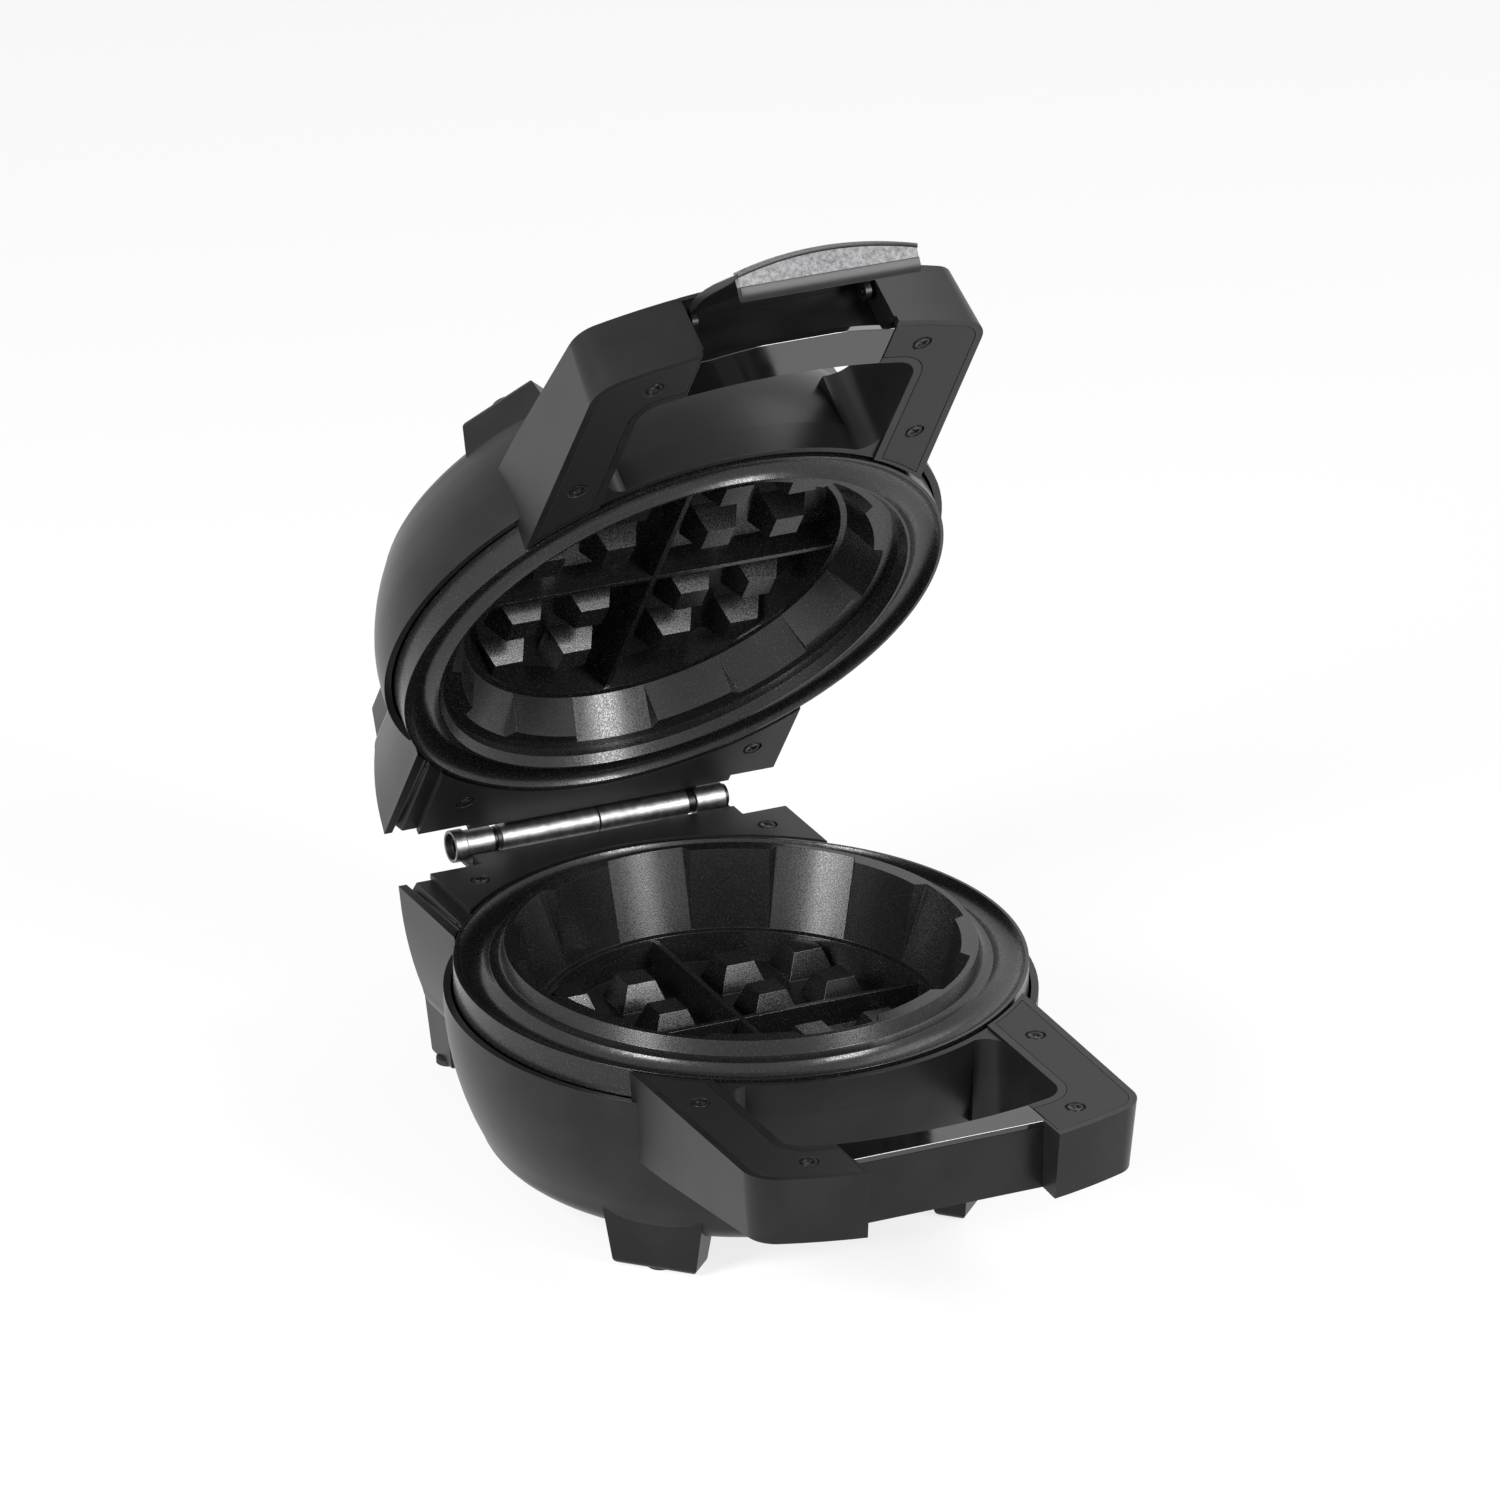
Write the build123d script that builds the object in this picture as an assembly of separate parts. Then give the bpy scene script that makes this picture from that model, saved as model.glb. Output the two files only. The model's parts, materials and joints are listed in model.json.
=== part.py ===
from build123d import *
import math
import os

os.makedirs("parts", exist_ok=True)

# Stuffed waffle maker, lid open, latch swung out. Millimetres, +Z up, +X along the hinge, +Y towards it.
# Each half is drawn with its parting plane at Z 0 and its body below, then the lid is mirrored and swung open.

# Lid, latch and hinge
LID_OPEN = 55.46
LATCH_OPEN = 72.6
HINGE_Y = 124.8
FLOOR_Z = -82.0
PARTING_Z = -0.4

# Housing
RIM_R = 103.5
RIM_Z = -11.0
WALL = 2.6
COLLAR_R = 104.0
COLLAR_IN_R = 101.5
COLLAR_TOP_Z = -1.2
BLOCK_REAR_Y = 107.0
BLOCK_SIDE_X = 82.5
GROOVE_X = 77.5
GROOVE_W = 5.0
GROOVE_DEEP = 5.5
SHELF_Z = -4.2
SHELF_THICK = 2.5

# Front feet, rear legs and pads
FOOT_AZIMUTHS = (-135.0, -45.0)
FOOT_IN_R = 76.0
FOOT_TOP_R = 91.5
FOOT_OUT_R = 88.0
FOOT_W_TOP = 41.0
FOOT_W_TIP = 30.0
FOOT_ROUND = 3.0
LEG_X = 57.0
LEG_W_TOP = 25.0
LEG_W_TIP = 15.0
LEG_FRONT_Y = 112.0
LEG_REAR_Y = 131.0
SUPPORTS = {"left_foot": ("foot", 0), "right_foot": ("foot", 1), "left_leg": ("leg", 0), "right_leg": ("leg", 1)}
PAD_R = 4.5
PAD_THICK = 2.0
PAD_PROUD = 0.5

# Handle
HANDLE_X = 75.3
HANDLE_FRONT_X = 73.0
FRONT_R = 190.0
FRONT_CENTRE_Y = 12.0
FRONT_CORNER_R = 13.0
OPENING_X = 52.0
OPENING_R = 207.0
OPENING_CENTRE_Y = 54.4
OPENING_CORNER_R = 10.0
WEB_R = 8.0
WEB_Y = -85.0
WEB_W = 18.0
WEB_LONG = 40.0
BAR_FRONT_Y = {"lower": -162.6, "upper": -161.8}
POCKET_X = 35.5
STRIP_X = 36.5
COVER_THICK = 2.2
COVER_OUT_INSET = 2.7
COVER_IN_INSET = 3.0
COVER_LEDGE = 1.2
COVER_REAR_R = 103.0
GROOVE_GAP = 0.35
HANDLE_BOTTOM_Z = -25.3
ARM_BOTTOM_Z = -33.0
ARM_REAR_Y = -90.0
ARM_FRONT_Y = -156.0
HANDLE_WALL = 2.6

# Screws
HANDLE_SCREWS = ((63.5, -101.0), (50.0, -157.5))
HINGE_SCREWS = ((56.0, 95.5),)
HEAD_R = 2.85
SINK_R = 3.6
SINK_DEEP = 0.8
SHANK_R = 1.5
SHANK_LONG = 11.0
BOSS_R = 4.0
BOSS_HOLE_R = 1.5

# Hinge
BARREL_R = 4.2
PIN_R = 2.5
BORE_R = 2.56
STRAP_THICK = 1.8
BASE_KNUCKLES = ((-52.6, -37.5), (45.0, 53.0))
COLLARS = ((-37.5, -33.3), (41.5, 45.0))
LID_KNUCKLES = ((-33.1, 3.9), (4.1, 41.3))
COLLAR_BIG_R = 4.5
PIN_FROM_X = -49.0
PIN_TO_X = 51.5
BRACKET_FRONT_Y = 88.0
BRACKET_X = 63.0
HINGE_COVER_X = 70.0
HINGE_COVER_REAR_Y = 107.6
HINGE_COVER_TOP_Z = -0.2

# Cooking plates
LIP_R = 100.0
SKIRT_Z = -11.0
SKIRT_WALL = 2.6
CHANNEL_OUT_R = 98.8
CHANNEL_IN_R = 87.5
CHANNEL_DEEP = 3.5
CAST_WALL = 3.2
PANELS = 16
PANEL_STEP = 360.0 / PANELS
PROUD_R = 76.5
RECESS_R = 80.2
RECESS_TOP_HALF = 10.4
PROUD_TOP_HALF = 12.1
DIVIDER_TOP_W = 2.0
DIVIDER_BASE_W = 4.2
STUD_AT = (-45.5, -19.2, 19.2, 45.5)
STUD_BASE = 17.7
STUD_TOP = 10.5

# Heating parts
ELEMENT_R = 55.0
TUBE_R = 3.6
TUBE_SIDES = 8
ELEMENT_ARC = 310.0
POST_R = 34.0
POST_RADIUS = 4.5
REFLECTOR_R = 84.0
REFLECTOR_THICK = 0.8

# Lamps on the lid
LAMP_R = 3.0
LAMP_X = 11.0
LAMP_Y = -48.0
LAMP_PROUD = 0.8

# Mains lead bushing
BUSHING_Z = -32.0
BUSHING_R = 6.0
BUSHING_BORE_R = 3.6

# Latch
LATCH_X = 33.5
LATCH_PIVOT_Y = -168.5
LATCH_PIVOT_Z = 18.0
LATCH_BOW_R = 150.0
LATCH_PIN_R = 1.6
LATCH_BORE_R = 1.66
CHEEK_THICK = 2.2
PIN_END_X = 37.5
HOOK_TOP_Z = -26.0
HOOK_NOSE_Y = -160.3

# Numbers of each half: depths below its parting plane
LOWER = dict(
    wall=((103.5, -11.0), (103.1, -20.5), (101.8, -30.0), (98.2, -44.0), (91.5, -60.0)),
    corner=((86.9, -66.4), (80.0, -69.0)), leg_tip=FLOOR_Z, foot_tip=FLOOR_Z, block_z=-56.0,
    floor=-33.5, well_r=67.5, ledge_r=69.0, panel_foot=(71.0, -22.5), ridge=-24.2, crest=5.6,
    reflector=-47.0,
)
UPPER = dict(
    wall=((103.5, -11.0), (102.9, -19.0), (101.0, -28.0), (96.6, -39.0), (90.0, -50.0)),
    corner=((85.4, -55.2), (78.0, -57.5)), leg_tip=-70.0, foot_tip=-70.0, block_z=-47.0,
    floor=-30.5, well_r=67.5, ledge_r=69.0, panel_foot=(71.2, -19.4), ridge=-20.5, crest=-6.6,
    reflector=-43.0,
)


def ring(r_out, r_in, z_low, z_high):
    """Upright ring, or disc where r_in is 0."""
    disc = extrude(Pos(0, 0, z_low) * Circle(r_out), z_high - z_low)
    return disc - extrude(Pos(0, 0, z_low) * Circle(r_in), z_high - z_low) if r_in else disc


def slab(x_low, x_high, y_low, y_high, z_low, z_high):
    """Box between two corners."""
    box = Box(x_high - x_low, y_high - y_low, z_high - z_low)
    return Pos((x_low + x_high) / 2, (y_low + y_high) / 2, (z_low + z_high) / 2) * box


def turned(points):
    """Solid of revolution about Z from an outline of (r, z) points."""
    return revolve(Plane.XZ * make_face(Polyline(*points, close=True)), Axis.Z)


def across(points, x_low, x_high):
    """Outline of (y, z) points, run along X."""
    side = Plane.YZ.offset(x_low) * make_face(Polyline(*points, close=True))
    return extrude(side, x_high - x_low)


def bar_x(x_low, x_high, y, z, radius):
    """Cylinder along X."""
    return extrude(Plane.YZ.offset(x_low) * Pos(y, z) * Circle(radius), x_high - x_low)


def bar_y(y_low, y_high, z, radius):
    """Cylinder along Y on the middle plane."""
    return extrude(Plane.XZ.offset(-y_low) * Pos(0, z) * Circle(radius), y_low - y_high)


def both_sides(points):
    """The same points on the left and on the right."""
    return [(side * x, y) for x, y in points for side in (-1, 1)]


# Housing


def shell_face(half, inset):
    """Side outline of the round housing, moved inwards by inset."""
    wall = [(r - inset, z) for r, z in half["wall"]]
    (corner_r, corner_z), (flat_r, flat_z) = half["corner"]
    top = (wall[0][0], 0.0)
    low = flat_z + inset
    rest = [(flat_r - inset, low), (0, low), (0, 0), top, wall[0]]
    if inset:
        return make_face(Polyline(*wall, (corner_r - inset, corner_z + inset), *rest))
    upper_arc = ThreePointArc(wall[0], wall[1], wall[2])
    lower_arc = ThreePointArc(wall[2], wall[3], wall[4])
    bend = ThreePointArc(wall[4], (corner_r, corner_z), (flat_r, low))
    return make_face(upper_arc + lower_arc + bend + Polyline(*rest))


def block(half, inset, top, rear):
    """Hinge block: a tapered trough behind the bowl."""
    low = half["block_z"] + inset
    x_at = BLOCK_SIDE_X - inset
    side = ThreePointArc((x_at, top), (x_at - 2.9, low * 0.4), (x_at - 9.0, low * 0.78))
    bend = ThreePointArc((x_at - 9.0, low * 0.78), (x_at - 13.5, low * 0.93), (x_at - 22.0, low))
    half_line = side + bend
    line = half_line + mirror(half_line, Plane.YZ)
    line += Line((x_at - 22.0, low), (22.0 - x_at, low))
    line += Line((x_at, top), (-x_at, top))
    return extrude(Plane.XZ.offset(-30.0) * make_face(line), -(rear - 30.0))


def foot(half, azimuth):
    """Tapered front foot with a rounded tip, flush with the wall."""
    tip = half["foot_tip"] + PAD_PROUD
    top = half["wall"][3][1]
    front = Polyline(
        (-FOOT_W_TOP / 2, top), (FOOT_W_TOP / 2, top), (FOOT_W_TIP / 2, tip), (-FOOT_W_TIP / 2, tip), close=True,
    )
    body = extrude(Plane.YZ.offset(FOOT_IN_R) * make_face(front), FOOT_TOP_R - FOOT_IN_R)
    side = [(FOOT_IN_R - 2, top), (FOOT_TOP_R, top), (FOOT_OUT_R, tip), (FOOT_IN_R + 1, tip)]
    body &= extrude(Plane.XZ.offset(-FOOT_W_TOP) * make_face(Polyline(*side, close=True)), 2 * FOOT_W_TOP)
    body = fillet(body.edges().filter_by_position(Axis.Z, tip - 0.1, tip + 0.1), FOOT_ROUND)
    return Rot(0, 0, azimuth) * body


def leg(half, side):
    """Rear leg: a fin behind the hinge block that tapers to its tip."""
    tip = half["leg_tip"] + PAD_PROUD
    fin = across(
        [
            (BLOCK_REAR_Y - 2.0, -15.0), (119.0, -16.5), (LEG_REAR_Y, -36.0),
            (LEG_REAR_Y - 1.0, tip), (LEG_FRONT_Y + 1.0, tip), (LEG_FRONT_Y - 1.0, half["block_z"] + 6.0),
            (BLOCK_REAR_Y - 2.0, half["block_z"] + 1.0),
        ],
        LEG_X - LEG_W_TOP / 2, LEG_X + LEG_W_TOP / 2,
    )
    front = Polyline(
        (LEG_X - LEG_W_TOP / 2, -14.0), (LEG_X + LEG_W_TOP / 2, -14.0), (LEG_X + LEG_W_TOP / 2, -43.0),
        (LEG_X + LEG_W_TIP / 2, tip), (LEG_X - LEG_W_TIP / 2, tip), (LEG_X - LEG_W_TOP / 2, -43.0), close=True,
    )
    wedge = extrude(Plane.XZ.offset(-BLOCK_REAR_Y + 3.0) * make_face(front), -(LEG_REAR_Y - BLOCK_REAR_Y + 4.0))
    body = fin & wedge
    body = fillet(body.edges().filter_by_position(Axis.Z, tip - 0.1, tip + 0.1), 2.0)
    return body if side > 0 else mirror(body, Plane.YZ)


def pad_places(half):
    """Centres of the four foot pads."""
    reach = (FOOT_IN_R + FOOT_OUT_R) / 2
    turns = [math.radians(a) for a in FOOT_AZIMUTHS]
    front = [(reach * math.cos(a), reach * math.sin(a), half["foot_tip"]) for a in turns]
    rear_y = (LEG_FRONT_Y + LEG_REAR_Y) / 2
    return front + [(side * LEG_X, rear_y, half["leg_tip"]) for side in (-1, 1)]


def foot_pads(half):
    """Round pads let into the feet."""
    return [ring(PAD_R, 0, z, z + PAD_THICK).moved(Location((x, y, 0))) for x, y, z in pad_places(half)]


def post_places(count=4):
    """Posts that carry plate and reflector, between the dividers."""
    turns = [math.radians(45.0 + 360.0 / count * k) for k in range(count)]
    return [(POST_R * math.cos(a), POST_R * math.sin(a)) for a in turns]


def hinge_pocket(knuckles):
    """Room for a hinge bracket under its cover: plate and straps."""
    room = slab(-BRACKET_X, BRACKET_X, BRACKET_FRONT_Y, BLOCK_REAR_Y - WALL, SHELF_Z, 0)
    for x_low, x_high in knuckles:
        room += slab(x_low, x_high, BRACKET_FRONT_Y, BLOCK_REAR_Y + 1, SHELF_Z, 0)
    return room


def hinge_cover(half, grow=0.0):
    """Cover plate over the hinge bracket; its front edge follows the lip."""
    x_at = HINGE_COVER_X + grow
    low = SHELF_Z + STRAP_THICK
    plate = slab(-x_at, x_at, 60, HINGE_COVER_REAR_Y + 3 * grow, low, HINGE_COVER_TOP_Z + 3 * grow)
    return plate - ring(COLLAR_IN_R - grow, 0, low - 1, 2)


def outer_skin(half):
    """Bowl and hinge block, filled."""
    bowl = revolve(Plane.XZ * shell_face(half, 0), Axis.Z)
    return bowl + block(half, 0, PARTING_Z, BLOCK_REAR_Y)


def support(half, name):
    """One foot or leg, fitted against the outside of the housing, its pad seat sunk in."""
    kind, side = SUPPORTS[name]
    solid = foot(half, FOOT_AZIMUTHS[side]) if kind == "foot" else leg(half, 2 * side - 1)
    solid -= outer_skin(half)
    for pad in foot_pads(half):
        solid -= pad
    return max(solid.solids(), key=lambda s: s.volume)


def housing(half, knuckles):
    """Bowl and hinge block as one moulding, hollow inside."""
    front = slab(-OPENING_X, OPENING_X, -COLLAR_R - 1, -60, RIM_Z - 1, COLLAR_TOP_Z)
    skin = revolve(Plane.XZ * shell_face(half, 0), Axis.Z) - ring(RIM_R + 1, 0, RIM_Z, 1)
    skin += ring(COLLAR_R, COLLAR_IN_R, RIM_Z - 1, COLLAR_TOP_Z) & front
    skin += block(half, 0, PARTING_Z, BLOCK_REAR_Y) - ring(COLLAR_IN_R, 0, RIM_Z, 1)
    hollow = revolve(Plane.XZ * shell_face(half, WALL), Axis.Z)
    hollow += block(half, WALL, SHELF_Z - SHELF_THICK, BLOCK_REAR_Y - WALL) - ring(COLLAR_R, 0, RIM_Z + WALL, 1)
    body = skin - hollow
    body -= ring(COLLAR_IN_R, 0, RIM_Z, 2)
    body -= hinge_pocket(knuckles) + hinge_cover(half, 0.15)
    for side in (-1, 1):
        notch = [(-GROOVE_W / 2, 1.0), (GROOVE_W / 2, 1.0), (0, -GROOVE_DEEP)]
        face = make_face(Polyline(*[(side * GROOVE_X + x, z) for x, z in notch], close=True))
        body -= extrude(Plane.XZ.offset(-BLOCK_REAR_Y - 1) * face, BLOCK_REAR_Y - 55.0)
    for x, y in both_sides(HINGE_SCREWS):
        body += ring(BOSS_R, 0, SHELF_Z - SHANK_LONG, SHELF_Z - 1).moved(Location((x, y, 0)))
        body -= ring(BOSS_HOLE_R, 0, SHELF_Z - SHANK_LONG + 1, 2).moved(Location((x, y, 0)))
    floor = half["corner"][1][1] + WALL
    for x, y in post_places():
        post = ring(POST_RADIUS, 0, floor - 0.5, half["reflector"]).moved(Location((x, y, 0)))
        body += post
    return body


# Handle


def outer_plan(inset):
    """Outer outline of the handle, moved inwards by inset."""
    front = FRONT_CENTRE_Y - FRONT_R - 10
    tail = Polyline(
        (-HANDLE_X, -40), (-HANDLE_FRONT_X, front), (HANDLE_FRONT_X, front), (HANDLE_X, -40), close=True,
    )
    plan = make_face(tail) & Pos(0, FRONT_CENTRE_Y) * Circle(FRONT_R)
    corners = plan.vertices().filter_by_position(Axis.Y, -200, ARM_FRONT_Y - 1)
    plan = fillet(corners, FRONT_CORNER_R)
    return offset(plan, -inset) if inset else plan


def opening_plan(outset):
    """Finger opening, grown by outset."""
    x_at = OPENING_X
    plan = Pos(0, -110) * Rectangle(2 * x_at, 120) & Pos(0, OPENING_CENTRE_Y) * Circle(OPENING_R)
    corners = plan.vertices().filter_by_position(Axis.Y, -200, -130)
    plan = fillet(corners, OPENING_CORNER_R)
    return offset(plan, outset) if outset else plan


def upright(plan, z_low, z_high):
    """Plan outline run upwards."""
    return extrude(Pos(0, 0, z_low) * plan, z_high - z_low)


def arm_side(lift):
    """Side view of the handle, its underside raised by lift."""
    return across(
        [
            (-40, PARTING_Z), (-200, PARTING_Z), (-200, HANDLE_BOTTOM_Z + lift),
            (ARM_FRONT_Y, HANDLE_BOTTOM_Z + lift), (ARM_REAR_Y, ARM_BOTTOM_Z + lift),
            (-40, ARM_BOTTOM_Z + lift - 4.0),
        ],
        -90, 90,
    )


def bowl_room(half):
    """Everything inside the bowl's outer skin and inside the lip gap."""
    return revolve(Plane.XZ * shell_face(half, 0), Axis.Z) - ring(RIM_R + 5, COLLAR_IN_R, RIM_Z, 1)


def corner_webs():
    """Rounded webs between the arms and the bowl, as a plan."""
    plan = Pos(0, -110) * Rectangle(2 * OPENING_X, 60) - Circle(RIM_R)
    corners = plan.vertices().filter_by_position(Axis.Y, -100, -60)
    rounded = fillet(corners, WEB_R)
    both = Pos(-OPENING_X, WEB_Y) * Rectangle(WEB_W, WEB_LONG) + Pos(OPENING_X, WEB_Y) * Rectangle(WEB_W, WEB_LONG)
    return both - rounded


def pocket(half_name, grow, top):
    """Latch pocket in the front of the handle, open at the front."""
    return slab(-POCKET_X - grow, POCKET_X + grow, -200, BAR_FRONT_Y[half_name] + grow, -60, top)


def cover_plan(side, gap):
    """Outline of one handle cover; gap shrinks it inside its recess."""
    plan = outer_plan(COVER_OUT_INSET + gap) - opening_plan(COVER_IN_INSET + gap)
    plan -= Circle(COVER_REAR_R + gap)
    keep = Pos(side * (STRIP_X + gap + 50), -120) * Rectangle(100, 160)
    return plan & keep


def strip_room(half_name, gap):
    """Place of the middle strip: over the bar, or out to the front face."""
    front = BAR_FRONT_Y["lower"] if half_name == "lower" else -200
    box = slab(gap - STRIP_X, STRIP_X - gap, front, -140, PARTING_Z - COVER_THICK, PARTING_Z)
    return box & upright(outer_plan(0) - opening_plan(0), PARTING_Z - COVER_THICK, PARTING_Z)


def handle_shell(half, half_name):
    """Two arms and a front block, hollow under the covers."""
    solid = arm_side(0) & upright(outer_plan(0) - opening_plan(0), -50, PARTING_Z)
    webs = arm_side(0) & upright(corner_webs(), -50, COLLAR_TOP_Z)
    solid += webs - ring(COLLAR_R, 0, RIM_Z - 1, 0)
    solid -= bowl_room(half)
    low = PARTING_Z - COVER_THICK
    ledge = COVER_OUT_INSET + COVER_LEDGE
    room = upright(outer_plan(ledge) - opening_plan(COVER_IN_INSET + COVER_LEDGE), -50, low)
    room &= arm_side(HANDLE_WALL)
    room -= ring(RIM_R + 1 + HANDLE_WALL, 0, -60, 1)
    room -= pocket(half_name, HANDLE_WALL, 1)
    solid -= room
    for side in (-1, 1):
        solid -= upright(cover_plan(side, 0), low, 1)
    solid -= strip_room(half_name, 0)
    solid -= pocket(half_name, 0, low if half_name == "upper" else 1)
    for x, y in both_sides(HANDLE_SCREWS):
        boss = ring(BOSS_R, 0, ARM_BOTTOM_Z, low).moved(Location((x, y, 0)))
        solid += boss & arm_side(HANDLE_WALL - 1.0)
        solid -= ring(BOSS_HOLE_R, 0, low - SHANK_LONG, low + 1).moved(Location((x, y, 0)))
    return solid


def drilled(plate, places, top):
    """Plate with a shank hole and a sunk head seat at each place."""
    for x, y in places:
        plate -= ring(SINK_R, 0, top - SINK_DEEP, 1).moved(Location((x, y, 0)))
        plate -= ring(SHANK_R, 0, -20, 1).moved(Location((x, y, 0)))
    return plate


def handle_cover(side):
    """Flat cover over one arm, with sunk screw seats."""
    plate = upright(cover_plan(side, GROOVE_GAP / 2), PARTING_Z - COVER_THICK, PARTING_Z)
    return drilled(plate, [(side * x, y) for x, y in HANDLE_SCREWS], PARTING_Z)


def screws(places, seat):
    """Round-headed screws, head sunk at the seat level."""
    made = []
    for x, y in both_sides(places):
        shank = ring(SHANK_R, 0, seat - SHANK_LONG + 2, seat)
        head = ring(HEAD_R, 0, seat, seat + SINK_DEEP - 0.1)
        made.append((shank + head).moved(Location((x, y, 0))))
    return made


# Cooking plates


def element_z(half):
    """Height of the middle of the heating tube."""
    return half["floor"] - CAST_WALL - TUBE_R


def tube_section(half):
    """Section of the heating tube, flattened to eight sides."""
    flat = Rot(0, 0, 180 / TUBE_SIDES) * RegularPolygon(TUBE_R, TUBE_SIDES, major_radius=False)
    return Pos(ELEMENT_R, element_z(half)) * flat


def plate_outline(half):
    """Side outline of a plate with proud panels everywhere, as (r, z) points."""
    foot_r, foot_z = half["panel_foot"]
    floor = half["floor"]
    under = floor - CAST_WALL
    mid_r = (CHANNEL_OUT_R + CHANNEL_IN_R) / 2
    channel = Line((LIP_R, PARTING_Z), (CHANNEL_OUT_R, PARTING_Z))
    channel += ThreePointArc((CHANNEL_OUT_R, PARTING_Z), (mid_r, PARTING_Z - CHANNEL_DEEP), (CHANNEL_IN_R, PARTING_Z))
    if half["crest"] > 0:
        wall = [(CHANNEL_IN_R, PARTING_Z), (86.5, PARTING_Z), (84.0, 0.6), (82.4, half["crest"])]
    else:
        wall = [(CHANNEL_IN_R, PARTING_Z), (86.6, PARTING_Z), (84.4, -3.5), (84.2, half["crest"])]
    wall += [(PROUD_R, half["crest"]), (foot_r, foot_z), (half["ledge_r"], foot_z - 0.4), (half["well_r"], floor)]
    wall += [(0, floor), (0, under), (half["well_r"] + 2.5, under), (foot_r + 3.4, foot_z - 2.0)]
    wall += [(RECESS_R + 3.4, SKIRT_Z + 1.0), (88.0, SKIRT_Z + 2.8), (LIP_R - SKIRT_WALL, SKIRT_Z + 2.8)]
    wall += [(LIP_R - SKIRT_WALL, SKIRT_Z), (LIP_R, SKIRT_Z), (LIP_R, PARTING_Z)]
    return make_face(channel + Polyline(*wall))


def recess_tool(half):
    """One recessed panel: a cone sector whose side faces open inwards."""
    foot_r, foot_z = half["panel_foot"]
    top = half["crest"]
    lift = 1.0
    lean = (RECESS_R - foot_r) / (top - foot_z)
    high_r = RECESS_R + lean * lift
    cone = turned([(55, foot_z), (foot_r, foot_z), (high_r, top + lift), (55, top + lift)])
    a_in, a_out = math.radians(PROUD_TOP_HALF), math.radians(RECESS_TOP_HALF)
    x_in, y_in = PROUD_R * math.cos(a_in), PROUD_R * math.sin(a_in)
    x_out, y_out = RECESS_R * math.cos(a_out), RECESS_R * math.sin(a_out)
    slope = (y_out - y_in) / (x_out - x_in)
    a_foot = math.radians(PANEL_STEP / 2)
    x_foot, y_foot = foot_r * math.cos(a_foot), foot_r * math.sin(a_foot)
    sections = []
    for x_at, y_at, z_at in ((x_foot, y_foot, foot_z), (x_in, y_in, top)):
        near, far = y_at + slope * (60 - x_at), y_at + slope * (90 - x_at)
        sections.append((near, far, z_at))
    (near_0, far_0, z_0), (near_1, far_1, z_1) = sections
    grow = (top + lift - z_0) / (z_1 - z_0)
    near_2, far_2 = near_0 + (near_1 - near_0) * grow, far_0 + (far_1 - far_0) * grow
    faces = []
    for near, far, z_at in ((near_0, far_0, z_0), (near_2, far_2, top + lift)):
        line = Polyline((60, -near), (90, -far), (90, far), (60, near), close=True)
        faces.append(Pos(0, 0, z_at) * make_face(line))
    return cone & loft(faces, ruled=True)


def cooking_plate(half):
    """Die-cast plate: lip, overflow channel, panelled wall, dividers and studs."""
    body = revolve(Plane.XZ * plate_outline(half), Axis.Z)
    tool = recess_tool(half)
    for k in range(PANELS // 2):
        body -= Rot(0, 0, 2 * PANEL_STEP * k) * tool
    floor, ridge = half["floor"], half["ridge"]
    tall = ridge - floor
    grid = None
    section = make_face(Polyline(
        (-DIVIDER_BASE_W / 2, floor - 0.5), (DIVIDER_BASE_W / 2, floor - 0.5),
        (DIVIDER_TOP_W / 2, ridge), (-DIVIDER_TOP_W / 2, ridge), close=True,
    ))
    run = extrude(Plane.XZ.offset(-75) * section, 150)
    grid = run + Rot(0, 0, 90) * run
    taper = math.degrees(math.atan((STUD_BASE - STUD_TOP) / 2 / tall))
    stud = extrude(Rectangle(STUD_BASE, STUD_BASE), tall, taper=taper)
    for x in STUD_AT:
        for y in STUD_AT:
            grid += Pos(x, y, floor) * stud
    keep = turned([(0, floor - 0.5), (half["well_r"] + 0.6, floor - 0.5), (half["ledge_r"] + 0.6, ridge + 0.5), (0, ridge + 0.5)])
    body += grid & keep
    under = floor - CAST_WALL
    seat = ring(ELEMENT_R + TUBE_R + 3, ELEMENT_R - TUBE_R - 3, under - TUBE_R, under + 0.5)
    body += seat
    body -= revolve(Plane.XZ * tube_section(half), Axis.Z)
    for x, y in post_places():
        body += ring(POST_RADIUS, 0, half["reflector"] + REFLECTOR_THICK, under + 0.5).moved(Location((x, y, 0)))
    return body


# Heating parts


def heating_element(half):
    """Tube ring cast against the plate, with two terminals turned down."""
    start = 90.0 + (360.0 - ELEMENT_ARC) / 2
    tube = Rot(0, 0, start) * revolve(Plane.XZ * tube_section(half), Axis.Z, ELEMENT_ARC)
    for angle in (start + 1.5, start + ELEMENT_ARC - 1.5):
        a = math.radians(angle)
        spot = Location((ELEMENT_R * math.cos(a), ELEMENT_R * math.sin(a), 0))
        tube += ring(TUBE_R * 0.6, 0, half["reflector"] - 5.0, element_z(half)).moved(spot)
    return tube


def heat_reflector(half):
    """Sheet dish under the element, resting on the posts."""
    low, thick = half["reflector"], REFLECTOR_THICK
    dish = ring(REFLECTOR_R, 0, low, low + thick) + ring(REFLECTOR_R, REFLECTOR_R - thick, low, low + 9.0)
    start = 90.0 + (360.0 - ELEMENT_ARC) / 2
    for angle in (start + 1.5, start + ELEMENT_ARC - 1.5):
        a = math.radians(angle)
        spot = Location((ELEMENT_R * math.cos(a), ELEMENT_R * math.sin(a), 0))
        dish -= ring(TUBE_R, 0, low - 1, low + 2).moved(spot)
    return dish


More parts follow.
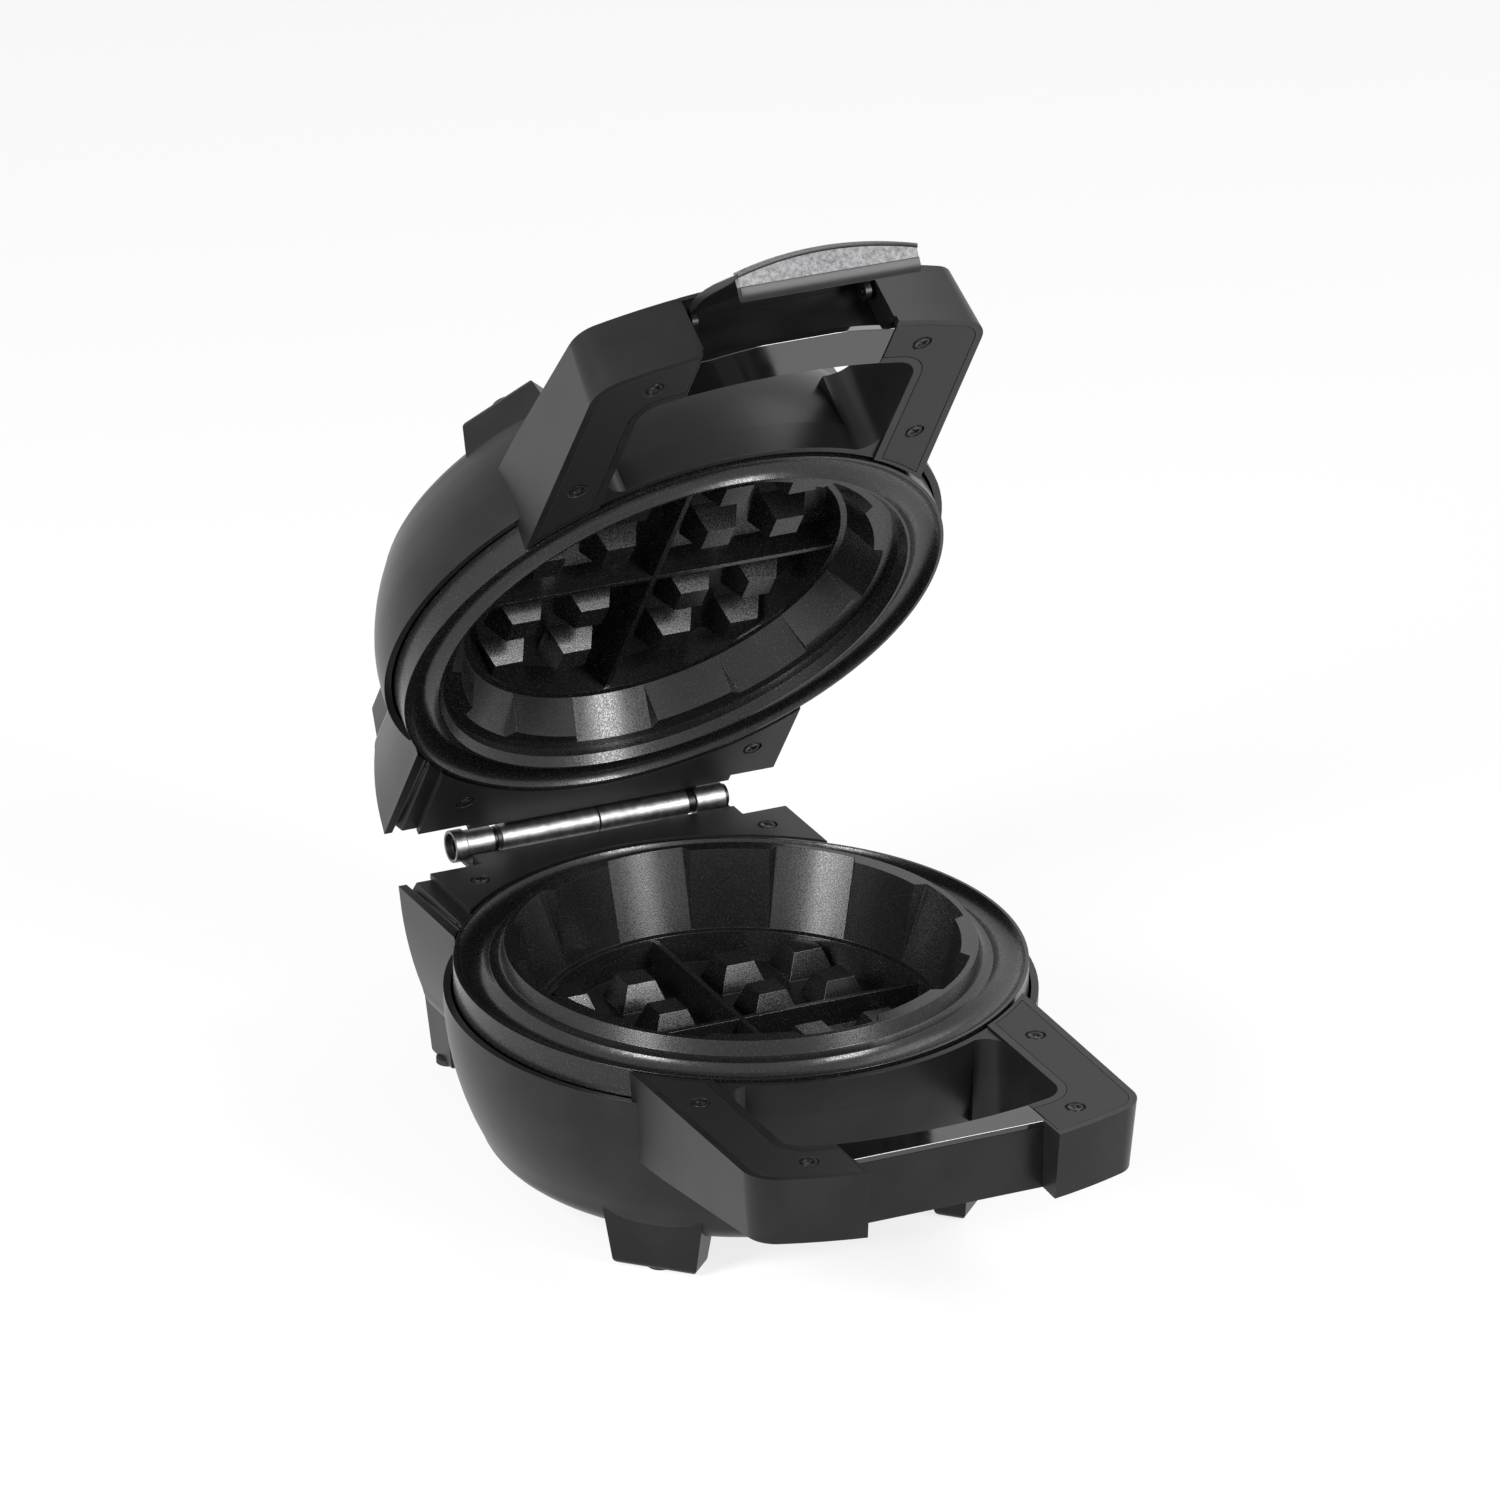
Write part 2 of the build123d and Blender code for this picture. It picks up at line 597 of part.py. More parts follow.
def thermal_fuse(half):
    """Small fuse held flat under the plate by its clip."""
    under = half["floor"] - CAST_WALL
    clip = slab(-9, 9, -3, 3, under - 1.2, under)
    body = bar_x(-7, 7, 0, under - 3.4, 2.4)
    return (clip + body).moved(Location((0, -26, 0)))


def thermostat(half):
    """Disc thermostat under the plate centre."""
    under = half["floor"] - CAST_WALL
    return ring(9.5, 0, under - 2.0, under) + ring(7.5, 0, half["reflector"] + REFLECTOR_THICK + 0.6, under - 2.0)


def cord_bushing():
    """Flanged bushing in the rear wall, for the mains lead."""
    stem = ring(BUSHING_R, 0, -WALL - 2.0, 0) + ring(BUSHING_R + 1.8, 0, 0, 1.6)
    stem -= ring(BUSHING_BORE_R, 0, -20, 20)
    return (Plane.XZ.offset(-BLOCK_REAR_Y) * Rot(180, 0, 0) * stem).moved(Location((0, 0, BUSHING_Z)))


def terminal_block(half):
    """Wire terminals on the floor near the rear."""
    floor = half["corner"][1][1] + WALL
    body = slab(-13, 13, 58, 68, floor, floor + 9)
    for x in (-8, 0, 8):
        body -= ring(2.4, 0, floor + 3, floor + 10).moved(Location((x, 63, 0)))
    return body


# Hinge


def hinge_bracket(knuckles, bore):
    """Plate, straps and knuckles of one half; the straps meet the barrel below."""
    low, high = SHELF_Z, SHELF_Z + STRAP_THICK
    body = slab(-BRACKET_X, BRACKET_X, BRACKET_FRONT_Y, BLOCK_REAR_Y - WALL - 0.1, low, high)
    for x_low, x_high in knuckles:
        body += slab(x_low, x_high, BRACKET_FRONT_Y, HINGE_Y, low, high)
        body += bar_x(x_low, x_high, HINGE_Y, 0, BARREL_R)
    body -= bar_x(-80, 80, HINGE_Y, 0, bore) + ring(COLLAR_IN_R, 0, low - 1, high + 1)
    for x, y in both_sides(HINGE_SCREWS):
        body -= ring(SHANK_R, 0, low - 1, high + 1).moved(Location((x, y, 0)))
    return body


# Latch, drawn shut in front of the handle


def latch_side(inner, outer):
    """Side outline of the latch cover between two arcs."""
    (a, b, c), (d, e, f) = inner, outer
    return make_face(ThreePointArc(a, b, c) + Line(c, d) + ThreePointArc(d, e, f) + Line(f, a))


LATCH_INNER = ((-177.4, 24.0), (-179.6, 1.0), (-172.0, -29.0))
LATCH_OUTER = ((-174.4, -29.6), (-181.9, 1.0), (-179.6, 25.6))
RETURN_Y = -173.2
RETURN_Z = 23.2


def bowed(side_face):
    """Side outline swept sideways round an upright axis, which bows it outwards."""
    axis = Axis((0, LATCH_BOW_R + LATCH_OUTER[1][0], 0), (0, 0, 1))
    turn = math.degrees(math.asin((LATCH_X + 4) / (LATCH_BOW_R - 20)))
    side = Plane.YZ * side_face
    swept = revolve(side.rotate(axis, -turn), axis, 2 * turn)
    return swept & slab(-LATCH_X, LATCH_X, -200, -100, -60, 60)


def latch_cover():
    """Bowed plate with a cheek and a pivot eye at each side."""
    body = bowed(latch_side(LATCH_INNER, LATCH_OUTER))
    lip = [(-178.4, 21.4), (-168, RETURN_Z), (-168, RETURN_Z + 1.4), (-178.4, 25.2)]
    body += bowed(make_face(Polyline(*lip, close=True))) & slab(-LATCH_X, LATCH_X, -200, RETURN_Y, 0, 60)
    inside = bowed(make_face(
        ThreePointArc(*LATCH_INNER) + Polyline(LATCH_INNER[2], (-150, -29.0), (-150, 24.0), LATCH_INNER[0])
    ))
    for side in (-1, 1):
        x_low, x_high = sorted((side * LATCH_X, side * (LATCH_X - CHEEK_THICK)))
        cheek = across([(-166.5, 22.0), (-182, 24.0), (-182, 5.0), (-165.5, 14.5)], x_low, x_high)
        body += cheek & inside
        body += bar_x(x_low, x_high, LATCH_PIVOT_Y, LATCH_PIVOT_Z, 4.0)
    return body - bar_x(-LATCH_X - 1, LATCH_X + 1, LATCH_PIVOT_Y, LATCH_PIVOT_Z, LATCH_BORE_R)


def latch_hook_plate():
    """Hook flange: straight nose, outer edge against the cover."""
    inside = bowed(make_face(
        ThreePointArc(*LATCH_INNER) + Polyline(LATCH_INNER[2], (-150, -29.0), (-150, 24.0), LATCH_INNER[0])
    ))
    low = LATCH_INNER[2][1]
    nose = [(-185, HOOK_TOP_Z), (HOOK_NOSE_Y, HOOK_TOP_Z), (HOOK_NOSE_Y, HOOK_TOP_Z - 0.8)]
    nose += [(HOOK_NOSE_Y - 2.4, low), (-185, low)]
    return across(nose, -LATCH_X, LATCH_X) & inside


# Assembly


def half_parts(name, half, knuckles, bore):
    """Parts that both halves have, by node name."""
    made = {
        "housing": housing(half, knuckles),
        "handle_shell": handle_shell(half, name),
        "grip_strip": strip_room(name, GROOVE_GAP / 2),
        "cooking_plate": cooking_plate(half),
        "heating_element": heating_element(half),
        "heat_reflector": heat_reflector(half),
        "thermal_fuse": thermal_fuse(half),
        "hinge_bracket": hinge_bracket(knuckles, bore),
        "foot_pads": foot_pads(half),
        "handle_screws": screws(HANDLE_SCREWS, PARTING_Z - SINK_DEEP),
        "hinge_screws": screws(HINGE_SCREWS, HINGE_COVER_TOP_Z - SINK_DEEP),
    }
    for side, word in ((-1, "left"), (1, "right")):
        made[f"handle_cover_{word}"] = handle_cover(side)
    for support_name in SUPPORTS:
        made[support_name] = support(half, support_name)
    made["hinge_cover"] = drilled(hinge_cover(half), both_sides(HINGE_SCREWS), HINGE_COVER_TOP_Z)
    return {f"{name}_{node}": shape for node, shape in made.items()}


def collars():
    """Dark rings between the knuckles."""
    made = []
    for x_low, x_high in COLLARS:
        outside = bar_x(x_low, x_high, HINGE_Y, 0, COLLAR_BIG_R)
        made.append(outside - bar_x(x_low, x_high, HINGE_Y, 0, PIN_R))
    return made


def lamp_lens(x):
    """Round lamp lens in the top of the lid, slightly proud."""
    top = UPPER["corner"][1][1]
    return ring(LAMP_R, 0, top - LAMP_PROUD, top + WALL + 1.0).moved(Location((x, LAMP_Y, 0)))


def each(shape, move):
    """Apply one move to a solid or to every solid of a group."""
    return [move(s) for s in shape] if isinstance(shape, list) else move(shape)


def swing_lid(shape):
    """Turn a shut lid part over and open it."""
    hinge = Axis((0, HINGE_Y, 0), (1, 0, 0))
    return each(shape, lambda s: s.rotate(hinge, -LID_OPEN))


def swing_latch(shape):
    """Open a shut latch part, then take it up with the lid."""
    pivot = Axis((0, LATCH_PIVOT_Y, LATCH_PIVOT_Z), (1, 0, 0))
    return swing_lid(each(shape, lambda s: s.rotate(pivot, -LATCH_OPEN)))


base = half_parts("lower", LOWER, BASE_KNUCKLES, PIN_R)
base["thermostat"] = thermostat(LOWER)
base["terminal_block"] = terminal_block(LOWER)
base["hinge_pin"] = bar_x(PIN_FROM_X, PIN_TO_X, HINGE_Y, 0, PIN_R)
base["hinge_collars"] = collars()
base["cord_bushing"] = cord_bushing()
base["lower_housing"] -= bar_y(BLOCK_REAR_Y - WALL - 1, BLOCK_REAR_Y + 1, BUSHING_Z, BUSHING_R)

lid = half_parts("upper", UPPER, LID_KNUCKLES, BORE_R)
lid["latch_pin"] = bar_x(-PIN_END_X, PIN_END_X, LATCH_PIVOT_Y, -LATCH_PIVOT_Z, LATCH_PIN_R)
lid["upper_handle_shell"] -= lid["latch_pin"]
for name, x in (("power_lamp_lens", -LAMP_X), ("ready_lamp_lens", LAMP_X)):
    lid[name] = lamp_lens(x)
    lid["upper_housing"] -= lid[name]
latch = {"latch_cover": latch_cover(), "latch_hook_plate": latch_hook_plate()}

rest = dict(base)
for name, shape in lid.items():
    rest[name] = swing_lid(each(shape, lambda s: mirror(s, Plane.XY)))
for name, shape in latch.items():
    rest[name] = swing_latch(shape)

# The shared frame: origin under the middle of the whole, on the ground
solids = [s for shape in rest.values() for s in (shape if isinstance(shape, list) else [shape])]
box = Compound(solids).bounding_box()
shift = Location((-(box.min.X + box.max.X) / 2, -(box.min.Y + box.max.Y) / 2, -box.min.Z))
for name, shape in rest.items():
    placed = each(shape, lambda s: s.moved(shift))
    export_step(Compound(placed) if isinstance(placed, list) else placed, f"parts/{name}.step")

swing = math.radians(LID_OPEN)
y_arm = LATCH_PIVOT_Y - HINGE_Y
pivot_y = HINGE_Y + y_arm * math.cos(swing) + LATCH_PIVOT_Z * math.sin(swing)
pivot_z = -y_arm * math.sin(swing) + LATCH_PIVOT_Z * math.cos(swing)
print("size", box.size)
print("shift", shift.position)
print("hinge y, z", HINGE_Y + shift.position.Y, shift.position.Z)
print("latch y, z", pivot_y + shift.position.Y, pivot_z + shift.position.Z)
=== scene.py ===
import json
import math

import bmesh
import bpy
from mathutils import Matrix, Vector


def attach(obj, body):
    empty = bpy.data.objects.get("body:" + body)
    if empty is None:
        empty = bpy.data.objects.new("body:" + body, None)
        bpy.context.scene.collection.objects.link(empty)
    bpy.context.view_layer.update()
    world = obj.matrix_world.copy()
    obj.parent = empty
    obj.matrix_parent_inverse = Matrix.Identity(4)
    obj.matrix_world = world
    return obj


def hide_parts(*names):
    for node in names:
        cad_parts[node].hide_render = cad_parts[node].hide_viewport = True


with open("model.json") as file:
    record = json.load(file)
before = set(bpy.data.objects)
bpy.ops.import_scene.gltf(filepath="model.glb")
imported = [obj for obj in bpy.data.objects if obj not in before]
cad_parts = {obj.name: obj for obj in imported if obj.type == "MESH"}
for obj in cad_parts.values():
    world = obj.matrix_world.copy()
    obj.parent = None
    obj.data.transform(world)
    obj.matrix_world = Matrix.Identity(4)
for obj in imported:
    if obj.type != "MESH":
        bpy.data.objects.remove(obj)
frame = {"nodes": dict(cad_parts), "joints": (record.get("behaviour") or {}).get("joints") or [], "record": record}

mm = 0.001
nodes = frame["nodes"]
bodyOf = {node: body for body, names in frame["record"]["behaviour"]["bodies"].items() for node in names}
slotOf = {part["node"]: part["material_slot"] for part in frame["record"]["subparts"]}
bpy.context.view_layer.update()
print("frame loaded", len(nodes), "nodes")


# materials


def hexColour(code):  # sRGB hex to the linear values that nodes take
    parts = [int(code[i:i + 2], 16) / 255 for i in (1, 3, 5)]
    return [p / 12.92 if p <= 0.04045 else ((p + 0.055) / 1.055) ** 2.4 for p in parts] + [1.0]


def newMaterial(name):
    material = bpy.data.materials.new(name)
    material.use_nodes = True
    return material, material.node_tree, material.node_tree.nodes["Principled BSDF"]


def addNode(tree, kind, settings=None, inputs=None):  # inputs: value, or (node, socket) to link
    node = tree.nodes.new(kind)
    for key, value in (settings or {}).items():
        setattr(node, key, value)
    for key, value in (inputs or {}).items():
        if isinstance(value, tuple) and isinstance(value[0], bpy.types.Node):
            tree.links.new(value[0].outputs[value[1]], node.inputs[key])
        else:
            node.inputs[key].default_value = value
    return node


def perMm(size):  # noise scale for a pattern of this size in millimetres
    return 1.0 / (size * mm)


def grain(tree, shader, sizeMm, depthMm, strength):  # fine surface grain, on object coordinates
    place = addNode(tree, "ShaderNodeTexCoord")
    noise = addNode(tree, "ShaderNodeTexNoise", {}, {
        "Vector": (place, "Object"), "Scale": perMm(sizeMm), "Detail": 3.0, "Roughness": 0.6})
    bump = addNode(tree, "ShaderNodeBump", {}, {
        "Height": (noise, "Fac"), "Distance": depthMm * mm, "Strength": strength})
    tree.links.new(bump.outputs["Normal"], shader.inputs["Normal"])
    return place, noise


def ramped(tree, source, stops):  # colour ramp over a factor
    ramp = addNode(tree, "ShaderNodeValToRGB", {}, {"Fac": source})
    elements = ramp.color_ramp.elements
    for element, (at, code) in zip(elements, stops):
        element.position = at
        element.color = hexColour(code)
    return ramp


def mouldedAbs():  # ABS from a lightly sparked mould: black, a satin sheen with soft edges to its highlights
    look = dict(
        dark="#101011", light="#161617", grainMm=0.4, depthMm=0.02, cloudMm=18, rough=0.34, sheen=0.24)
    material, tree, shader = newMaterial("mouldedAbs")
    place, noise = grain(tree, shader, look["grainMm"], look["depthMm"], 0.5)
    wide = addNode(tree, "ShaderNodeTexNoise", {}, {
        "Vector": (place, "Object"), "Scale": perMm(look["cloudMm"]), "Detail": 2.0})
    ramp = ramped(tree, (wide, "Fac"), [(0.35, look["dark"]), (0.65, look["light"])])
    tree.links.new(ramp.outputs["Color"], shader.inputs["Base Color"])
    shader.inputs["Roughness"].default_value = look["rough"]
    shader.inputs["Specular IOR Level"].default_value = look["sheen"]
    return material


def mattAbs():  # ABS covers with a finer, flatter texture: even dark grey
    look = dict(dark="#121213", light="#181819", grainMm=0.3, depthMm=0.02, rough=0.4, sheen=0.22)
    material, tree, shader = newMaterial("mattAbs")
    place, noise = grain(tree, shader, look["grainMm"], look["depthMm"], 0.5)
    ramp = ramped(tree, (noise, "Fac"), [(0.35, look["dark"]), (0.65, look["light"])])
    tree.links.new(ramp.outputs["Color"], shader.inputs["Base Color"])
    shader.inputs["Roughness"].default_value = look["rough"]
    shader.inputs["Specular IOR Level"].default_value = look["sheen"]
    return material


def polishedAbs():  # ABS from a polished mould: black mirror gloss with faint handling haze
    look = dict(black="#0b0b0c", hazeMm=9.0, roughLow=0.05, roughHigh=0.09, sheen=0.9)
    material, tree, shader = newMaterial("polishedAbs")
    place = addNode(tree, "ShaderNodeTexCoord")
    haze = addNode(tree, "ShaderNodeTexNoise", {}, {
        "Vector": (place, "Object"), "Scale": perMm(look["hazeMm"])})
    span = addNode(tree, "ShaderNodeMapRange", {}, {
        "Value": (haze, "Fac"), "From Min": 0.3, "From Max": 0.7,
        "To Min": look["roughLow"], "To Max": look["roughHigh"]})
    tree.links.new(span.outputs["Result"], shader.inputs["Roughness"])
    shader.inputs["Base Color"].default_value = hexColour(look["black"])
    shader.inputs["Specular IOR Level"].default_value = look["sheen"]
    return material


def nonstickCoat():  # sprayed PTFE coat on die-cast aluminium: near black, fine flecks, an orange-peel skin
    look = dict(  # flecks drawn a little coarser than real, so that they show
        black="#0a0a0b", fleck="#29292a", peelMm=0.6, depthMm=0.03, fleckMm=0.5,
        roughLow=0.13, roughHigh=0.33, sheen=0.42)
    material, tree, shader = newMaterial("nonstickCoat")
    place, noise = grain(tree, shader, look["peelMm"], look["depthMm"], 0.6)
    cells = addNode(tree, "ShaderNodeTexNoise", {}, {
        "Vector": (place, "Object"), "Scale": perMm(look["fleckMm"]), "Detail": 1.0})
    ramp = ramped(tree, (cells, "Fac"), [(0.58, look["black"]), (0.7, look["fleck"])])
    tree.links.new(ramp.outputs["Color"], shader.inputs["Base Color"])
    shine = addNode(tree, "ShaderNodeMapRange", {}, {  # smoother flecks sparkle in the highlights
        "Value": (cells, "Fac"), "From Min": 0.42, "From Max": 0.66,
        "To Min": look["roughHigh"], "To Max": look["roughLow"]})
    tree.links.new(shine.outputs["Result"], shader.inputs["Roughness"])
    shader.inputs["Specular IOR Level"].default_value = look["sheen"]
    return material


def satinSteel():  # zinc-plated steel, tumbled: pale metal with a soft, slightly cloudy shine
    look = dict(metal="#828281", dull="#666665", cloudMm=3.0, rough=0.4)
    material, tree, shader = newMaterial("satinSteel")
    place, noise = grain(tree, shader, 0.3, 0.01, 0.4)
    cloud = addNode(tree, "ShaderNodeTexNoise", {}, {
        "Vector": (place, "Object"), "Scale": perMm(look["cloudMm"])})
    ramp = ramped(tree, (cloud, "Fac"), [(0.35, look["dull"]), (0.65, look["metal"])])
    tree.links.new(ramp.outputs["Color"], shader.inputs["Base Color"])
    shader.inputs["Metallic"].default_value = 1.0
    shader.inputs["Roughness"].default_value = look["rough"]
    return material


def rolledAluminium():  # mill-finish aluminium sheet: pale grey metal with a faint grain
    material, tree, shader = newMaterial("rolledAluminium")
    place, noise = grain(tree, shader, 0.8, 0.01, 0.4)
    ramp = ramped(tree, (noise, "Fac"), [(0.3, "#b9babb"), (0.7, "#c9cacb")])
    tree.links.new(ramp.outputs["Color"], shader.inputs["Base Color"])
    shader.inputs["Metallic"].default_value = 1.0
    shader.inputs["Roughness"].default_value = 0.38
    return material


def steatite():  # pressed ceramic and heat-proof nylon of the small electrical parts: off-white, dull
    material, tree, shader = newMaterial("steatite")
    place, noise = grain(tree, shader, 0.6, 0.02, 0.4)
    ramp = ramped(tree, (noise, "Fac"), [(0.3, "#cfc9ba"), (0.7, "#ddd8ca")])
    tree.links.new(ramp.outputs["Color"], shader.inputs["Base Color"])
    shader.inputs["Roughness"].default_value = 0.65
    return material


def padRubber():  # moulded silicone rubber: black, dull, slightly soft to the light
    material, tree, shader = newMaterial("padRubber")
    place, noise = grain(tree, shader, 0.5, 0.03, 0.4)
    ramp = ramped(tree, (noise, "Fac"), [(0.3, "#141414"), (0.7, "#1b1b1b")])
    tree.links.new(ramp.outputs["Color"], shader.inputs["Base Color"])
    shader.inputs["Roughness"].default_value = 0.75
    return material


def blackenedSteel():  # phosphated and oiled screw steel: black with a dull metal shine on its edges
    material, tree, shader = newMaterial("blackenedSteel")
    place, noise = grain(tree, shader, 0.4, 0.02, 0.5)
    ramp = ramped(tree, (noise, "Fac"), [(0.3, "#171717"), (0.7, "#2b2b2b")])
    tree.links.new(ramp.outputs["Color"], shader.inputs["Base Color"])
    shader.inputs["Metallic"].default_value = 0.8
    shader.inputs["Roughness"].default_value = 0.34
    return material


def hookNylon():  # glass-filled nylon rubbed pale on the hook face: light grey, mottled by its fibres
    look = dict(dark="#343436", light="#6e6e70", mottleMm=1.5, rough=0.45)
    material, tree, shader = newMaterial("hookNylon")
    place, noise = grain(tree, shader, 0.5, 0.03, 0.5)
    mottle = addNode(tree, "ShaderNodeTexNoise", {}, {
        "Vector": (place, "Object"), "Scale": perMm(look["mottleMm"]), "Detail": 5.0, "Roughness": 0.7})
    ramp = ramped(tree, (mottle, "Fac"), [(0.36, look["dark"]), (0.62, look["light"])])
    tree.links.new(ramp.outputs["Color"], shader.inputs["Base Color"])
    shader.inputs["Roughness"].default_value = look["rough"]
    return material


def lensAcrylic(name, dark, light):  # dyed acrylic lamp lens: glassy, deep colour
    material, tree, shader = newMaterial(name)
    place, noise = grain(tree, shader, 2.0, 0.01, 0.2)
    ramp = ramped(tree, (noise, "Fac"), [(0.3, dark), (0.7, light)])
    tree.links.new(ramp.outputs["Color"], shader.inputs["Base Color"])
    shader.inputs["Roughness"].default_value = 0.12
    shader.inputs["IOR"].default_value = 1.49
    return material


finishes = {
    "body_black": mouldedAbs(),
    "cover_matte": mattAbs(),
    "strip_gloss": polishedAbs(),
    "nonstick_cast": nonstickCoat(),
    "satin_steel": satinSteel(),
    "bare_aluminium": rolledAluminium(),
    "insulator": steatite(),
    "pad_rubber": padRubber(),
    "black_screw": blackenedSteel(),
    "latch_black": mouldedAbs(),
    "hook_grey": hookNylon(),
    "power_lens": lensAcrylic("redAcrylic", "#6d0c08", "#8a120c"),
    "ready_lens": lensAcrylic("greenAcrylic", "#0e5a1f", "#147a2c"),
}
print("materials made", len(finishes))


# drawing frames: each half is drawn with its parting plane at Z 0 and its body below, in millimetres

drawn = dict(hingeY=124.8, lidOpen=55.46, latchOpen=72.6, latchY=-168.5, latchZ=18.0)

hinge = frame["joints"][0]["pos_m"]
pivot = Vector((0, drawn["latchY"], drawn["latchZ"]))
toHinge = Matrix.Translation((0, -drawn["hingeY"], 0))
fromHinge = Matrix.Translation((0, hinge[1] / mm, hinge[2] / mm))
lidTurn = Matrix.Rotation(math.radians(-drawn["lidOpen"]), 4, "X")
latchTurn = Matrix.Rotation(math.radians(-drawn["latchOpen"]), 4, "X")
shutLid = fromHinge @ lidTurn @ toHinge  # places what is drawn on the lid as shut, with Z up
shutLatch = shutLid @ Matrix.Translation(pivot) @ latchTurn @ Matrix.Translation(-pivot)
halfPlace = {"lower": fromHinge @ toHinge, "upper": shutLid @ Matrix.Diagonal((1, 1, -1, 1))}
toMetres = Matrix.Scale(mm, 4)
alongX = Matrix.Rotation(math.radians(90), 4, "Y")


def halfOf(name):
    return "upper" if name.startswith("upper") else "lower"


# moves for the points of dressed copies, towards finer forms of the photograph


hingeBlock = dict(
    fromY=50.0, clearOfBowl=101.0, bowlSkin=104.0, legsBelow=-58.0,  # where block, bowl and legs part
    stripFrom=-3.0, stripTop=-2.4,
    grooveFrom=-7.0, grooveX=77.5, grooveMiddle=1.0, notchY=100.0,  # grooves kept open only at the rear left
    sideFrom=60.0, side=82.5, newSide=69.5,
    lidRear=106.0, lidRearOut=4.2,
)


def housingShape(x, y, z, half):  # right side of the hinge block further in, its top lower, lid's rear out
    look = hingeBlock
    radius = math.hypot(x, y)
    if y < look["fromY"] or radius < look["clearOfBowl"] or z < look["legsBelow"]:
        return x, y, z
    inGroove = z > look["grooveFrom"] and abs(abs(x) - look["grooveX"]) < look["grooveMiddle"]
    if z > look["stripFrom"]:
        z = min(z, look["stripTop"])
    elif inGroove and (x > 0 or y < look["notchY"]):
        z = look["stripTop"]
    if look["sideFrom"] < x < look["side"] + 0.2:
        share = (look["newSide"] - look["sideFrom"]) / (look["side"] - look["sideFrom"])
        x = look["sideFrom"] + (x - look["sideFrom"]) * share
        if radius < look["bowlSkin"]:  # the foot of the side slides along the bowl
            y = math.sqrt(radius * radius - x * x)
    if half == "upper" and y > look["lidRear"]:
        y += look["lidRearOut"]
    return x, y, z


hingeCover = dict(side=69.0, lidRear=107.0, lidRearOut=4.4)


def coverShape(x, y, z, half):  # hinge cover: right edge further in, rear edge out over the lid's block
    if half == "upper" and y > hingeCover["lidRear"]:
        y += hingeCover["lidRearOut"]
    return min(x, hingeCover["side"]), y, z


handleShell = dict(
    draft=5.0, edge=0.4,
    cornerX=60.2, cornerY=-154.4, frontY=12.0,  # middles of the corner's and the front's arcs
    cornerSkin=11.5, frontSkin=188.7, sideSkin=72.4,  # beyond these lies the outer skin
)


def shellShape(x, y, z, half):  # handle shell: outer faces lean in by the mould's draft
    look = handleShell
    lean = math.tan(math.radians(look["draft"])) * max(0.0, -z - look["edge"])
    side = 1 if x > 0 else -1
    pastCornerX, pastCornerY = abs(x) - look["cornerX"], y - look["cornerY"]
    toCorner = math.hypot(pastCornerX, pastCornerY)
    toFront = math.hypot(x, y - look["frontY"])
    if pastCornerY < 0 and pastCornerX > 0 and toCorner > look["cornerSkin"]:
        x -= lean * side * pastCornerX / toCorner
        y -= lean * pastCornerY / toCorner
    elif pastCornerY < 0 and pastCornerX <= 0 and toFront > look["frontSkin"]:
        x -= lean * x / toFront
        y -= lean * (y - look["frontY"]) / toFront
    elif pastCornerY >= 0 and abs(x) > look["sideSkin"]:
        x -= lean * side
    return x, y, z


latchShape = dict(  # sections as (Y, Z) of the shut latch at its ends; its front bows forwards between them
    halfX=33.5, bowR=130.0, eyeR=3.2, cheek=2.2, coverEdge=0.35, hookEdge=0.3, hookIn=0.2,
    outer=((-172.6, 17.4), (-173.4, 12.0), (-173.7, 5.0), (-173.5, -1.0), (-172.7, -9.1),
           (-171.2, -18.0), (-169.9, -27.0), (-169.6, -30.2)),
    inner=((-168.2, -29.6), (-168.2, -24.0), (-169.0, -16.0), (-169.8, -9.0), (-170.6, -1.0),
           (-170.8, 5.0), (-170.5, 12.0), (-169.8, 16.0)),
    face=((-171.0, -26.6), (-165.4, -26.6), (-165.0, -28.7), (-168.6, -29.2)),
    nose=((-165.6, -26.4), (-162.2, -25.6), (-160.6, -26.0), (-160.5, -27.0), (-162.6, -28.6),
          (-165.2, -29.0)),
)
lidStrip = dict(frontFrom=-170.0, front=-173.5, clearOfLatch=-170.1)


def stripShape(x, y, z, half):  # lid's strip: front edge drawn back to clear the latch
    if y < lidStrip["frontFrom"]:
        bow = max(0.0, latchShape["halfX"] ** 2 - x * x) / (2 * latchShape["bowR"])
        y = max(lidStrip["front"], lidStrip["clearOfLatch"] - bow)
    return x, y, z


legs = dict(fromY=90.0, middleX=57.0, newMiddleX=53.0, slimmer=0.88)
lidFeet = dict(below=-50.0, shorter=0.8, shortestBy=4.0, inwards=0.96)


def footShape(x, y, z, half):  # legs set further in and slimmer, the lid's feet and legs a little shorter
    if y > legs["fromY"]:
        side = 1 if x > 0 else -1
        x = side * (legs["newMiddleX"] + (abs(x) - legs["middleX"]) * legs["slimmer"])
    if half == "upper" and z < lidFeet["below"]:
        z = max(lidFeet["below"] + (z - lidFeet["below"]) * lidFeet["shorter"], z + lidFeet["shortestBy"])
    if half == "upper" and y < 0:
        x *= lidFeet["inwards"]
    return x, y, z


reshaped = {  # nodes whose dressed copy is refined, with the move for its points
    "lower_housing": housingShape, "upper_housing": housingShape,
    "lower_hinge_cover": coverShape, "upper_hinge_cover": coverShape,
    "lower_handle_shell": shellShape, "upper_handle_shell": shellShape,
    "upper_grip_strip": stripShape, "upper_foot_pads": footShape,
    "upper_left_foot": footShape, "upper_right_foot": footShape,
    "lower_left_leg": footShape, "lower_right_leg": footShape,
    "upper_left_leg": footShape, "upper_right_leg": footShape,
}


